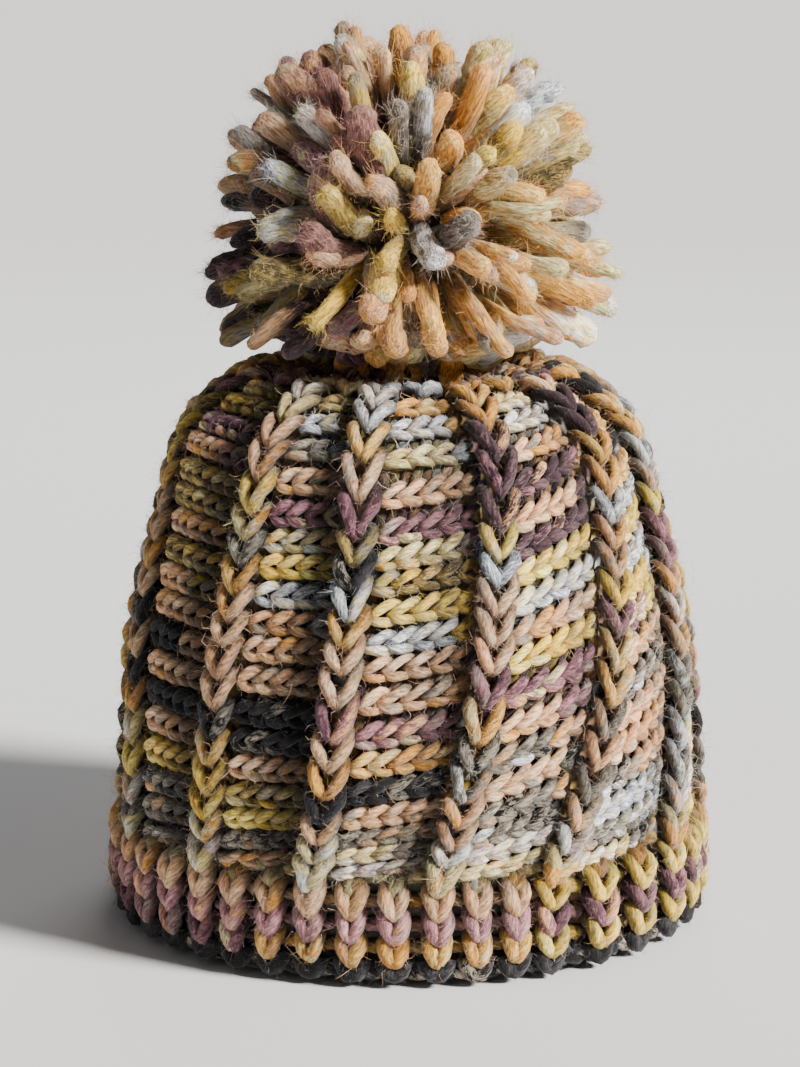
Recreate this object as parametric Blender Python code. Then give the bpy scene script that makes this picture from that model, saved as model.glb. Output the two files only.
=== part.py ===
"""Knitted hat with a pom-pom, standing on its brim.

World: metres, +Z up, the front of the hat faces -Y. The brim's edge stands on z = 0 and the
crown's gathered hole is on the Z axis. The fabric is described by one profile, from the brim's
edge up over the shoulder and down into the dished crown, and by the thirteen raised ribs that
run over it, so the brim, ribs, panels and crown are all lofted from the same few dimensions.
"""

import math

import bmesh
import bpy
import numpy as np
from mathutils import Vector

MM = 0.001
COLLECTION = "pompom_hat"

# Outer face of the fabric over the crests of the ribs: (radius, height), mm, brim to crown hole.
PROFILE = (
    (86.5, 0.0), (88.0, 8.0), (87.6, 30.0), (85.9, 60.0), (84.2, 81.0), (79.1, 105.0),
    (74.2, 122.0), (70.3, 137.0), (66.1, 146.0), (60.9, 151.5), (53.8, 157.0), (46.0, 161.0),
    (40.0, 161.5), (34.0, 159.0), (28.0, 155.5), (20.0, 151.0), (9.0, 147.5),
)
BRIM_DEPTH_RATIO = 0.87  # the brim is an oval, this much shallower from front to back
ROUND_FROM = 60.0  # height where the oval has become a circle

# Rib angles in degrees from the front, at three heights, for the ribs seen from the front.
RIB_HEIGHTS = (30.0, 90.0, 150.0)
FRONT_RIBS = (
    (-68.0, -70.0, -80.0),
    (-42.0, -39.0, -36.5),
    (-18.5, -13.0, -11.0),
    (5.0, 15.5, 21.5),
    (27.0, 44.5, 52.5),
    (60.0, 70.0, 75.0),
)
RIBS = 13
BRIM_COLUMNS_PER_RIB = 3

# Fabric, mm. Depths are measured inwards from the profile.
RIB_HALF_WIDTH = 5.2
RIB_BACK = 9.5
PANEL_FACE = 4.5
PANEL_BACK = 9.0
SEAM = 0.6  # clear width between two pieces of fabric
BRIM_GROOVE = 3.6
BRIM_BACK = 8.6

# Distances along the profile from the brim's edge, mm.
EDGE_TOP = 6.2
BRIM_BOTTOM = 6.6
BRIM_TOP = 33.4
BODY_BOTTOM = 34.0
BODY_TOP = 149.8
SHOULDER = (151.2, 176.6)
DISH = (177.8, 212.8)
CROWN_BACK = 8.5

# Gathering yarn and tie, mm.
GATHER_RADIUS = 7.6
GATHER_YARN = 2.0
GATHER_HEIGHT = 146.0
PIVOT_HEIGHT = 147.5
TIE_RADIUS = 2.6
TIE_TIP_RADIUS = 1.8
TIE_CHAMFER = 1.5
TIE_BOTTOM = 139.5
TIE_SPLIT = 155.5
TIE_GAP = 0.4
KNOT_RADIUS = 7.5
KNOT_HALF_HEIGHT = 3.6

# Pom-pom, mm.
POMPOM_HEIGHT = 205.0
POMPOM_RADIUS = 51.0
CORE_RADIUS = 14.0
BINDING_RADIUS = 16.8
BINDING_YARN = 1.8
TUFT_SPREAD = (20.3, 23.0, 27.0, 23.0)  # degrees from its middle, every 30 from a side to a side
TUFT_RINGS = ((0.43, 1.0), (0.88, 1.0), (0.96, 0.82), (1.0, 0.42))  # (share of reach, of spread)
LOW_TUFT_REACH = 0.93

YARN = {
    "edge": (0.045, 0.043, 0.05),
    "brim": (0.62, 0.36, 0.30),
    "panel": (0.55, 0.42, 0.27),
    "rib": (0.68, 0.50, 0.38),
    "crown": (0.50, 0.48, 0.42),
    "tie": (0.30, 0.24, 0.22),
    "core": (0.20, 0.16, 0.15),
    "tuft": ((0.66, 0.34, 0.17), (0.62, 0.52, 0.20), (0.45, 0.27, 0.27), (0.50, 0.48, 0.44)),
}


def clear_scene():
    for obj in list(bpy.data.objects):
        bpy.data.objects.remove(obj, do_unlink=True)


def new_collection(name):
    collection = bpy.data.collections.new(name)
    bpy.context.scene.collection.children.link(collection)
    return collection


def yarn_material(name, colour):
    material = bpy.data.materials.new(name)
    material.use_nodes = True
    shader = material.node_tree.nodes["Principled BSDF"]
    shader.inputs["Base Color"].default_value = (*colour, 1.0)
    shader.inputs["Roughness"].default_value = 0.9
    shader.inputs["Metallic"].default_value = 0.0
    return material


def add_part(collection, name, mesh, colour, location=(0.0, 0.0, 0.0)):
    part = bpy.data.objects.new(name, mesh)
    part.location = location
    collection.objects.link(part)
    mesh.materials.append(yarn_material(name, colour))
    return part


# The fabric's surface


def smooth_step(low, high, value):
    t = min(max((value - low) / (high - low), 0.0), 1.0)
    return t * t * (3.0 - 2.0 * t)


def profile_lengths():
    steps = np.diff(np.array(PROFILE), axis=0)
    return np.concatenate([[0.0], np.cumsum(np.hypot(steps[:, 0], steps[:, 1]))])


LENGTHS = profile_lengths()


def profile_point(along):
    """(radius, height) at a distance along the profile, on a smooth curve through its points."""
    points = np.array(PROFILE)
    slopes = np.gradient(points, LENGTHS, axis=0)
    i = int(np.clip(np.searchsorted(LENGTHS, along) - 1, 0, len(points) - 2))
    span = LENGTHS[i + 1] - LENGTHS[i]
    t = (along - LENGTHS[i]) / span
    start = (1 + 2 * t) * (1 - t) ** 2 * points[i] + t * (1 - t) ** 2 * span * slopes[i]
    end = t * t * (3 - 2 * t) * points[i + 1] + t * t * (t - 1) * span * slopes[i + 1]
    return start + end


def fabric_point(angle, along, depth):
    """World point, in metres, at this depth under the profile."""
    radius, height = profile_point(along)
    ahead = profile_point(along + 0.5) - profile_point(along - 0.5)
    ahead /= np.hypot(*ahead)
    radius -= depth * ahead[1]
    height += depth * ahead[0]
    ratio = BRIM_DEPTH_RATIO + (1.0 - BRIM_DEPTH_RATIO) * smooth_step(0.0, ROUND_FROM, height)
    x = radius * math.sin(angle)
    y = -radius * ratio * math.cos(angle)
    return Vector((x * MM, y * MM, max(height, 0.0) * MM))


def rib_angles(rib):
    """The rib's angles in degrees at RIB_HEIGHTS. Ribs past the listed ones share the back."""
    turns, rib = divmod(rib, RIBS)
    if rib < len(FRONT_RIBS):
        angles = np.array(FRONT_RIBS[rib])
    else:
        first, last = np.array(FRONT_RIBS[-1]), np.array(FRONT_RIBS[0]) + 360.0
        share = (rib - len(FRONT_RIBS) + 1) / (RIBS - len(FRONT_RIBS) + 1)
        angles = first + (last - first) * share
    return angles + 360.0 * turns


def rib_angle(rib, along):
    """Angle in radians of a rib, or of a place between two ribs, at a distance along the profile."""
    low, middle, high = RIB_HEIGHTS
    height = float(np.clip(profile_point(min(along, BODY_TOP))[1], low, high))
    t = (height - middle) / (high - middle)
    whole = math.floor(rib)
    angles = rib_angles(whole) + (rib_angles(whole + 1) - rib_angles(whole)) * (rib - whole)
    rise, bend = (angles[2] - angles[0]) / 2, (angles[2] + angles[0]) / 2 - angles[1]
    return math.radians(angles[1] + rise * t + bend * t * t)


# Lofted solids


def loft(name, sections, ring):
    """Closed mesh through equal loops of points. A ring joins its last loop to its first."""
    mesh = bpy.data.meshes.new(name)
    bm = bmesh.new()
    loops = [[bm.verts.new(point) for point in section] for section in sections]
    count = len(loops[0])
    pairs = list(zip(loops, loops[1:]))
    if ring:
        pairs.append((loops[-1], loops[0]))
    for first, second in pairs:
        for i in range(count):
            j = (i + 1) % count
            bm.faces.new((first[i], first[j], second[j], second[i]))
    if not ring:
        bm.faces.new(reversed(loops[0]))
        bm.faces.new(loops[-1])
    bmesh.ops.recalc_face_normals(bm, faces=bm.faces)
    bm.to_mesh(mesh)
    bm.free()
    return mesh


def cast_on_edge(collection):
    """Flat-bottomed ring that the hat stands on."""
    outline = ((0.0, 1.6), (2.0, 0.2), (EDGE_TOP, 0.6), (EDGE_TOP, 7.6), (2.0, 8.2), (0.0, 6.8))
    count = RIBS * BRIM_COLUMNS_PER_RIB
    sections = []
    for i in range(count):
        angle = 2.0 * math.pi * i / count
        section = [fabric_point(angle, along, depth) for along, depth in outline]
        section[0].z = section[-1].z = 0.0
        sections.append(section)
    add_part(collection, "cast_on_edge", loft("cast_on_edge", sections, True), YARN["edge"])


def ribbed_brim(collection):
    """Knit-one, purl-one band: each column stands proud of the groove beside it."""
    across = (0.0, 1.6, BRIM_GROOVE, BRIM_GROOVE, 1.6)
    columns = RIBS * BRIM_COLUMNS_PER_RIB
    sections = []
    for i in range(columns * len(across)):
        column, step = divmod(i, len(across))
        rib = (column + step / len(across)) / BRIM_COLUMNS_PER_RIB
        depth = across[step]
        outline = ((BRIM_BOTTOM, depth), (BRIM_TOP, depth), (BRIM_TOP, BRIM_BACK), (BRIM_BOTTOM, BRIM_BACK))
        angle = rib_angle(rib, BODY_BOTTOM)
        sections.append([fabric_point(angle, along, inward) for along, inward in outline])
    add_part(collection, "ribbed_brim", loft("ribbed_brim", sections, True), YARN["brim"])


def body_stations():
    return np.linspace(BODY_BOTTOM, BODY_TOP, 8)


def half_width_angle(along, width):
    return width / profile_point(along)[0]


def raised_rib(collection, rib):
    """One column of raised stitches, from the brim to the shoulder."""
    outline = ((-1.0, 3.6), (-0.6, 0.8), (0.0, 0.0), (0.6, 0.8), (1.0, 3.6), (1.0, RIB_BACK), (-1.0, RIB_BACK))
    sections = []
    for along in body_stations():
        middle = rib_angle(rib, along)
        half = half_width_angle(along, RIB_HALF_WIDTH)
        sections.append([fabric_point(middle + side * half, along, depth) for side, depth in outline])
    name = f"rib_{rib + 1:02d}"
    add_part(collection, name, loft(name, sections, False), YARN["rib"])


def braided_panel(collection, rib):
    """The band of fabric between one rib and the next."""
    shares = np.linspace(0.0, 1.0, 4)
    sections = []
    for along in body_stations():
        inset = half_width_angle(along, RIB_HALF_WIDTH + SEAM)
        first = rib_angle(rib, along) + inset
        last = rib_angle(rib + 1, along) - inset
        angles = first + (last - first) * shares
        face = [fabric_point(angle, along, PANEL_FACE) for angle in angles]
        back = [fabric_point(angle, along, PANEL_BACK) for angle in angles[::-1]]
        sections.append(face + back)
    name = f"panel_{rib + 1:02d}"
    add_part(collection, name, loft(name, sections, False), YARN["panel"])


def pleated_crown(collection, name, ends, rings):
    """Part of the crown between two distances along the profile, pleated by the ribs."""
    pleat = (0.0, 1.2, 4.0, PANEL_FACE, 4.0, 1.2)
    stations = np.linspace(*ends, rings)
    sections = []
    for i in range(RIBS * len(pleat)):
        rib, step = divmod(i, len(pleat))
        angle = rib_angle(rib + step / len(pleat), BODY_TOP)
        face = [fabric_point(angle, along, pleat[step]) for along in stations]
        back = [fabric_point(angle, along, CROWN_BACK) for along in stations[::-1]]
        sections.append(face + back)
    add_part(collection, name, loft(name, sections, True), YARN["crown"])


# Turned solids


def turned(name, outline, sides):
    """Closed mesh turned about Z from (radius, height) points in mm that start and end on the axis."""
    bm = bmesh.new()
    points = [bm.verts.new((radius * MM, 0.0, height * MM)) for radius, height in outline]
    edges = [bm.edges.new(pair) for pair in zip(points, points[1:])]
    bmesh.ops.spin(
        bm, geom=points + edges, cent=(0, 0, 0), axis=(0, 0, 1),
        angle=2.0 * math.pi, steps=sides, use_duplicate=False,
    )
    bmesh.ops.remove_doubles(bm, verts=bm.verts, dist=0.01 * MM)
    bmesh.ops.recalc_face_normals(bm, faces=bm.faces)
    mesh = bpy.data.meshes.new(name)
    bm.to_mesh(mesh)
    bm.free()
    return mesh


def yarn_ring(collection, name, radius, yarn, height, colour):
    bpy.ops.mesh.primitive_torus_add(
        major_radius=radius * MM, minor_radius=yarn * MM, major_segments=24, minor_segments=6,
        location=(0.0, 0.0, height * MM),
    )
    ring = bpy.context.object
    ring.name = name
    for owner in list(ring.users_collection):
        owner.objects.unlink(ring)
    collection.objects.link(ring)
    ring.data.materials.append(yarn_material(name, colour))
    return ring


def tie_length(collection, name, bottom, top):
    """A straight length of tie yarn with its origin at the crown hole, where it bends."""
    outline = [
        (0.0, bottom), (TIE_TIP_RADIUS, bottom), (TIE_RADIUS, bottom + TIE_CHAMFER),
        (TIE_RADIUS, top - TIE_CHAMFER), (TIE_TIP_RADIUS, top), (0.0, top),
    ]
    from_pivot = [(radius, height - PIVOT_HEIGHT) for radius, height in outline]
    place = (0.0, 0.0, PIVOT_HEIGHT * MM)
    add_part(collection, name, turned(name, from_pivot, 12), YARN["tie"], place)


def inner_knot(collection):
    """The lump of knotted yarn that stops the tie from pulling out through the crown."""
    middle = TIE_BOTTOM - TIE_GAP - KNOT_HALF_HEIGHT
    outline = [(0.0, -KNOT_HALF_HEIGHT)]
    for degrees in (-60, -30, 0, 30, 60):
        turn = math.radians(degrees)
        outline.append((KNOT_RADIUS * math.cos(turn), KNOT_HALF_HEIGHT * math.sin(turn)))
    outline.append((0.0, KNOT_HALF_HEIGHT))
    mesh = turned("inner_knot", outline, 12)
    add_part(collection, "inner_knot", mesh, YARN["tie"], (0.0, 0.0, middle * MM))


def pompom_core(collection):
    bm = bmesh.new()
    bmesh.ops.create_icosphere(bm, subdivisions=2, radius=CORE_RADIUS * MM)
    mesh = bpy.data.meshes.new("pompom_core")
    bm.to_mesh(mesh)
    bm.free()
    centre = (0.0, 0.0, POMPOM_HEIGHT * MM)
    add_part(collection, "pompom_core", mesh, YARN["core"], centre)


def tuft_directions():
    """The twenty corners of a dodecahedron that stands on a face, so that the tie has room below."""
    directions = []
    for polar, turn in ((37.377, 0.0), (79.188, 0.0), (100.812, 36.0), (142.623, 36.0)):
        for i in range(5):
            around = math.radians(72.0 * i + turn)
            tilt = math.radians(polar)
            ring = math.sin(tilt)
            directions.append(Vector((ring * math.sin(around), -ring * math.cos(around), math.cos(tilt))))
    return directions


def tuft(collection, index, directions):
    """A bundle of cut yarn: a three-sided wedge between its neighbours, with a domed end."""
    name = f"tuft_{index + 1:02d}"
    middle = directions[index]
    neighbour = max((d for d in directions if d is not middle), key=middle.dot)
    side = (neighbour - middle * middle.dot(neighbour)).normalized()
    other = middle.cross(side)
    reach = POMPOM_RADIUS * (LOW_TUFT_REACH if middle.z < -0.5 else 1.0)
    sections = []
    for share, narrowing in TUFT_RINGS:
        section = []
        for step in range(12):
            turn = math.radians(30.0 * step)
            spread = math.radians(TUFT_SPREAD[step % 4]) * narrowing
            out = side * math.cos(turn) + other * math.sin(turn)
            section.append((middle * math.cos(spread) + out * math.sin(spread)) * reach * share * MM)
        sections.append(section)
    place = (0.0, 0.0, POMPOM_HEIGHT * MM)
    add_part(collection, name, loft(name, sections, False), YARN["tuft"][index % 4], place)


def build():
    clear_scene()
    parts = new_collection(COLLECTION)
    cast_on_edge(parts)
    ribbed_brim(parts)
    for rib in range(RIBS):
        raised_rib(parts, rib)
        braided_panel(parts, rib)
    pleated_crown(parts, "crown_shoulder", SHOULDER, 4)
    pleated_crown(parts, "gathered_crown", DISH, 4)
    yarn_ring(parts, "gathering_yarn", GATHER_RADIUS, GATHER_YARN, GATHER_HEIGHT, YARN["tie"])
    tie_length(parts, "tie_lower", TIE_BOTTOM, TIE_SPLIT)
    tie_length(parts, "tie_upper", TIE_SPLIT + TIE_GAP, POMPOM_HEIGHT - CORE_RADIUS - TIE_GAP)
    inner_knot(parts)
    pompom_core(parts)
    yarn_ring(parts, "pompom_binding", BINDING_RADIUS, BINDING_YARN, POMPOM_HEIGHT, YARN["tie"])
    directions = tuft_directions()
    for index in range(len(directions)):
        tuft(parts, index, directions)


build()
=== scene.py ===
import math

import bpy
import numpy as np
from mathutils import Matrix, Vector


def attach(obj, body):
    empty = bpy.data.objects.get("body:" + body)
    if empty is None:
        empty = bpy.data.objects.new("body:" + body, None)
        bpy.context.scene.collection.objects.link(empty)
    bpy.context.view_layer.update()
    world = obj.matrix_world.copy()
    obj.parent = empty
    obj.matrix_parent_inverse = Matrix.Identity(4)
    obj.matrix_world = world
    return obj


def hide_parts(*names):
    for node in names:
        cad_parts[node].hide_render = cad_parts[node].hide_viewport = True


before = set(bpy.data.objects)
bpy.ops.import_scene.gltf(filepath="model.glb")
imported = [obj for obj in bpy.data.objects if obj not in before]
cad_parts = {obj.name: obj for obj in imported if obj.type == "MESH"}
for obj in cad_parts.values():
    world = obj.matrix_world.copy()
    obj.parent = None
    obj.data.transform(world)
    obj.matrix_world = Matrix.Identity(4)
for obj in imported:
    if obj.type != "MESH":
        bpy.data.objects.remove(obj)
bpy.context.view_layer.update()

MM = 0.001

# Driving dimensions, mm. The profile, as (radius, height) from the brim to the crown's hole, and the
# ribs' angles from the front, in degrees at the rib heights, are those of the CAD part.

PROFILE = np.array((
    (86.5, 0.0), (88.0, 8.0), (87.6, 30.0), (85.9, 60.0), (84.2, 81.0), (79.1, 105.0),
    (74.2, 122.0), (70.3, 137.0), (66.1, 146.0), (60.9, 151.5), (53.8, 157.0), (46.0, 161.0),
    (40.0, 161.5), (34.0, 159.0), (28.0, 155.5), (20.0, 151.0), (9.0, 147.5),
))
BRIM_DEPTH_RATIO = 0.87
ROUND_FROM = 60.0
RIB_HEIGHTS = (30.0, 90.0, 150.0)
FRONT_RIBS = np.array((
    (-68.0, -70.0, -80.0),
    (-42.0, -39.0, -36.5),
    (-18.5, -13.0, -11.0),
    (5.0, 15.5, 21.5),
    (27.0, 44.5, 52.5),
    (60.0, 70.0, 75.0),
))
RIBS = 13
BODY_TOP = 149.8
BRIM_COLUMNS_PER_RIB = 3
BRIM_ROWS = 4
BRIM_FIRST = 8.6
BRIM_PITCH = 7.4
BRIM_RADIUS = 86.0
BRIM_MIDDLE = 20.0
BRIM_SINK = 6.0  # how far the columns that have no rib above them turn in under the panels

# Where each row of stitches lies along the profile, bottom row first. The rows sag at the front.
FRONT_ROWS = np.array((
    36.0, 41.0, 46.0, 52.0, 59.0, 66.5, 74.5, 84.0, 93.0, 100.2,
    108.0, 116.0, 122.6, 129.6, 139.7, 151.4, 162.0, 171.0, 179.0,
))
SIDE_ROWS = np.array((
    33.5, 43.0, 52.0, 61.5, 71.0, 79.0, 87.0, 95.5, 104.0, 111.5,
    119.0, 126.5, 133.5, 141.0, 149.0, 157.0, 165.5, 173.5, 180.5,
))
ROWS = len(FRONT_ROWS) - 1
SHOULDER_ROW = 15  # this row and those above it lie on the crown's shoulder

RIB_HALF_WIDTH = 5.9
RIB_YARN = 1.65
RIB_DEPTH = 3.2  # how far under the profile the ribs' and the brim's arms start
RIB_APEX_DROP = 3.0
RIB_SHADE = -0.6  # added to a column's depth at its middle for its painted shade, so the middle is painted lighter
ARM_JITTER = (0.03, 0.05, 0.12)  # in the units of the arms below
BRIM_YARN = 2.0
PANEL_YARN = 1.36
PANEL_PITCH = 5.9
PANEL_TILT = 4.4
# Painted shade at each panel's right end, beside the next rib, where light hardly reaches: the extra depth
# in mm its colour is darkened for.
PANEL_END_SHADE = (7.6, 7.4, 4.8, 2.4, 2.6, 2.6, 2.6, 2.6, 2.6, 2.6, 2.6, 3.6, 5.0)
INNER_YARN = 1.5
GROOVE_YARN = 2.1
EDGE_YARN = 2.3
# The edge's loops, below a column and below a groove: depth, half width and height, mm.
EDGE_LOOPS = ((2.4, 3.3, 3.0), (5.4, 2.6, 3.6))
LINING_DEPTHS = ((0, 30, 36, 150, 178, 211), (7.6, 7.6, 9.0, 9.0, 6.0, 3.6))  # by distance along
LINING_RADIUS = 85.0
LINING_ROW = 8.3
PURL_BUMP = (5.5, 4.2)  # width and height

# The gathered crown: where its rows start along the profile, and which rows of the rib chart,
# counted from the top, give it its colours.
CROWN_START = 177.0
CROWN_PITCH = 5.4
CROWN_COLOURS = (1, 0, 2, 3, 1, 0)

POMPOM_HEIGHT = 205.0
POMPOM_STRANDS = 250
POMPOM_FILLERS = 130
POMPOM_YARN = 3.0
POMPOM_REACH = 48.5  # from the middle to the cut ends, at the front, back and top
POMPOM_WIDER = 6.0  # added to it at the left and right, and again low on the sides
FILLERS_SHORTER = 6.5
CORE_STRANDS = 160
POMPOM_DROOP = 15.0  # how far the lower strands hang down
CROWN_GAP = 1.0  # between the pom-pom's lowest yarn and the crown, besides NOD_ROOM
SLANT = np.array((0.3, 0.2, 1.0))  # a direction that no strand follows
POMPOM_PARTING = np.array((0.05, -0.92, -0.39))  # the strands part here and sweep away from it

# Yarn colours: (main, fleck), sRGB 0-255.
YARNS = {
    "O": ((230, 162, 70), (246, 204, 124)),
    "P": ((236, 178, 128), (248, 208, 168)),
    "M": ((168, 116, 124), (104, 72, 80)),
    "D": ((62, 44, 50), (112, 84, 88)),
    "K": ((18, 17, 18), (58, 56, 58)),
    "Y": ((250, 204, 76), (252, 226, 136)),
    "L": ((238, 220, 164), (200, 178, 112)),
    "B": ((240, 243, 246), (146, 150, 160)),
    "G": ((162, 152, 136), (98, 90, 80)),
    "V": ((196, 168, 96), (104, 88, 54)),
    "T": ((208, 156, 110), (242, 208, 174)),
    "W": ((242, 234, 222), (196, 168, 152)),
    "R": ((182, 128, 112), (126, 88, 84)),
    "N": ((216, 164, 162), (176, 122, 128)),
}
# What each colour may be spun with, or change to along a strand.
PARTNERS = {
    "O": "TLO", "P": "GOP", "M": "LPG", "D": "MDP", "Y": "LYV", "L": "BOL", "B": "GLW", "G": "BTK",
    "V": "YGL", "T": "OGP", "K": "GKK", "W": "PBL", "R": "TPM", "N": "MPN",
}
SPUN_TOGETHER = 0.5  # share of stitches whose second colour is a partner's
# Painted shade: how light the yarn's colour is painted by how far it lies under the highest yarn near it
# (depths in mm, shares). Crests are painted a little lighter, a painted highlight.
DEPTH_SHADE = ((-2.4, -1.0, 0.2, 1.4, 3.0, 6.0), (1.16, 1.04, 0.68, 0.34, 0.14, 0.05))

# One letter a row, top row first: a panel to each line, from the one right of the first rib.
PANEL_CHART = (
    "VVMTVVTVTTKTKTYGGG",
    "VBGPMLYBTPTKKTVYGP",
    "OBLPMLVYBTPMOKPGLW",
    "LWPDPDYBTYMPGPGGWL",
    "PPOKOBYBYMTGPTGBGL",
    "POKOBWYDLTBTYGTPWY",
    "OYVTBPMDKOTYYGPMKG",
    "GGBWPOTMDVYYTKBPOG",
    "TPMMDKYLVGBBTPOMKG",
    "YVTGBWPPOTMDKYYVTG",
    "BBGTPOOYMMDTVVLKTG",
    "OTPMMDGBBTYYVKPPTG",
    "GVYTPPMDKTBGOOYTKG",
)
RIB_CHART = (
    "PMVYVOTPOTKTKOLYWG",
    "WLPPYLGOPPTPKOYYLW",
    "WBOPMVKBOPTMPOKPLL",
    "OODDDYBTTPMOGGPTWL",
    "PDDOOBTTYMOOGTGPWL",
    "OKOOBWYMMTWTGGBGWL",
    "OOTBPMDKOTYYGPMKGG",
    "GBWPOTMDVYYTKBPOGG",
    "PMMDKYLVGBBTPOMKGG",
    "VTGBWPPOTMDKYYVTGG",
    "BGTPOOYMMDTVVLKTGG",
    "TPMMDGBBTYYVKPPTGG",
    "VYTPPMDKTBGOOYTKGG",
)
# Brim rows, lowest first, for each stretch of the brim: the angle where it ends, and its yarns.
BRIM_CHART = ((-85.0, "TMOP"), (-28.0, "MNPL"), (24.0, "ONPL"), (85.0, "YMYO"), (180.0, "TMOP"))

# Pom-pom colours by place on its front half: (to the right, up, yarn), in radii from its middle.
POMPOM_PATCHES = (
    (-0.55, 0.62, "R"), (-0.30, 0.82, "P"), (-0.75, 0.35, "W"), (-0.92, 0.20, "P"), (-0.88, -0.12, "D"),
    (-0.45, 0.35, "R"), (-0.22, 0.58, "Y"), (-0.32, 0.18, "P"), (-0.15, 0.16, "Y"), (-0.72, 0.08, "L"),
    (-0.52, -0.20, "Y"), (-0.35, -0.28, "Y"), (-0.05, -0.16, "Y"), (0.00, 0.40, "G"), (0.05, 0.75, "O"),
    (-0.10, 0.92, "T"), (0.20, 0.62, "G"), (0.14, 0.10, "O"), (0.38, 0.40, "O"), (0.35, 0.12, "T"),
    (0.60, 0.55, "B"), (0.72, 0.30, "L"), (0.92, 0.15, "V"), (0.60, 0.02, "O"), (0.72, -0.25, "O"),
    (0.85, -0.45, "O"), (0.30, -0.22, "G"), (0.30, -0.55, "O"), (0.60, -0.60, "L"), (0.02, -0.45, "O"),
    (-0.28, -0.50, "P"), (-0.08, -0.75, "O"), (-0.60, -0.55, "D"), (-0.78, -0.35, "V"), (0.42, 0.78, "O"),
    (0.48, 0.26, "V"), (0.80, 0.02, "L"), (0.50, 0.68, "V"), (-0.62, -0.36, "R"), (0.12, -0.62, "G"),
)
BACK_YARNS = "OPRTYGBOVTLM"

# The top of the hat under the pom-pom, mm: radii and heights.
CROWN_RADII = (9.0, 20.0, 28.0, 34.0, 40.0, 46.0, 54.0, 61.0, 66.0)
CROWN_HEIGHTS = (147.5, 151.0, 155.5, 159.0, 161.5, 161.0, 157.0, 151.5, 146.0)
# Height left free over the crown for the pom-pom to nod: radii and heights.
NOD_ROOM = ((0.0, 30.0, 44.0, 54.0, 60.0), (0.0, 5.0, 7.4, 5.4, 4.8))
FREE_FROM = 172.0  # the pom-pom's yarn lower than this lies close to the crown, with no loose fibres

# The hidden pieces: heights and radii.
GATHERING_HEIGHT, GATHERING_RADIUS = 146.0, 7.6
KNOT_HEIGHT = 135.5
TIE_LOWER_SPAN = (139.5, 155.5)
TIE_UPPER_SPAN = (155.9, 190.6)
BINDING_RADIUS = 16.0
HIDDEN_YARN = "T"

# Camera: how far it is from the point that it aims at, mm, and how far it looks down.
CAMERA_DISTANCE = 800.0
CAMERA_AIM = (-2.6, 0.0, 110.4)
CAMERA_TILT = math.radians(12.0)
CAMERA_LENS = 93.5

# Loose fibres in a piece: how many, their usual length in mm, and how pale they are.
FABRIC_FIBRES = (44000, 1.9, 0.2)
POMPOM_FIBRES = (40000, 2.0, 0.08)
BRUSHED_PER_END = 85
BRUSHED_PALE = 0.06
FIBRE_WIDTH = 0.08
HAT_MIDDLE = np.array((0.0, 0.0, 60.0))
POMPOM_MIDDLE = np.array((0.0, 0.0, POMPOM_HEIGHT))

rng = np.random.default_rng(7)


# Colour


def linear(srgb):
    value = np.asarray(srgb, float) / 255.0
    return np.where(value <= 0.04045, value / 12.92, ((value + 0.055) / 1.055) ** 2.4)


MAIN = {letter: linear(pair[0]) for letter, pair in YARNS.items()}
FLECK = {letter: linear(pair[1]) for letter, pair in YARNS.items()}


def some_partner(letter):
    return PARTNERS[letter][int(rng.integers(0, 3))]


def yarn_colours(letters):
    """(main, fleck) arrays for a list of yarn letters, each strand a little lighter or darker."""
    shade = rng.normal(1.0, 0.09, (len(letters), 1)).clip(0.76, 1.25)
    tint = rng.normal(1.0, 0.03, (len(letters), 3))
    mix = rng.uniform(0.0, 0.35, (len(letters), 1))
    main = np.array([MAIN[letter] for letter in letters])
    fleck = np.array([FLECK[letter] for letter in letters])
    partner = np.array([MAIN[some_partner(letter)] for letter in letters])
    main = (main * (1.0 - mix) + fleck * mix) * shade * tint
    fleck = np.where(rng.uniform(0, 1, (len(letters), 1)) < SPUN_TOGETHER, partner, fleck) * shade
    return main.clip(0, 1), fleck.clip(0, 1)


# The fabric's surface


def unit(vectors):
    return vectors / np.linalg.norm(vectors, axis=-1, keepdims=True)


def smooth_step(low, high, value):
    t = np.clip((value - low) / (high - low), 0.0, 1.0)
    return t * t * (3.0 - 2.0 * t)


LENGTHS = np.concatenate([[0.0], np.cumsum(np.hypot(*np.diff(PROFILE, axis=0).T))])
SLOPES = np.gradient(PROFILE, LENGTHS, axis=0)


def profile_point(along):
    """(..., 2) radius and height at distances along the profile."""
    along = np.asarray(along, float)
    i = np.clip(np.searchsorted(LENGTHS, along) - 1, 0, len(LENGTHS) - 2)
    span = LENGTHS[i + 1] - LENGTHS[i]
    t = ((along - LENGTHS[i]) / span)[..., None]
    span = span[..., None]
    start = (1 + 2 * t) * (1 - t) ** 2 * PROFILE[i] + t * (1 - t) ** 2 * span * SLOPES[i]
    end = t * t * (3 - 2 * t) * PROFILE[i + 1] + t * t * (t - 1) * span * SLOPES[i + 1]
    return start + end


def fabric_point(angle, along, depth):
    """World points in mm at these depths under the profile."""
    ahead = unit(profile_point(along + 0.5) - profile_point(along - 0.5))
    place = profile_point(along)
    radius = place[..., 0] - depth * ahead[..., 1]
    height = place[..., 1] + depth * ahead[..., 0]
    ratio = BRIM_DEPTH_RATIO + (1.0 - BRIM_DEPTH_RATIO) * smooth_step(0.0, ROUND_FROM, height)
    return np.stack([radius * np.sin(angle), -radius * ratio * np.cos(angle), height], -1)


def outward(angle, along):
    """The fabric's outward direction."""
    return unit(fabric_point(angle, along, 0.0) - fabric_point(angle, along, 1.0))


def rib_table():
    last = FRONT_RIBS[0] + 360.0
    first = FRONT_RIBS[-1]
    hidden = RIBS - len(FRONT_RIBS)
    back = [first + (last - first) * i / (hidden + 1) for i in range(1, hidden + 1)]
    return np.array([*FRONT_RIBS, *back, last])


RIB_TABLE = rib_table()


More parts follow.
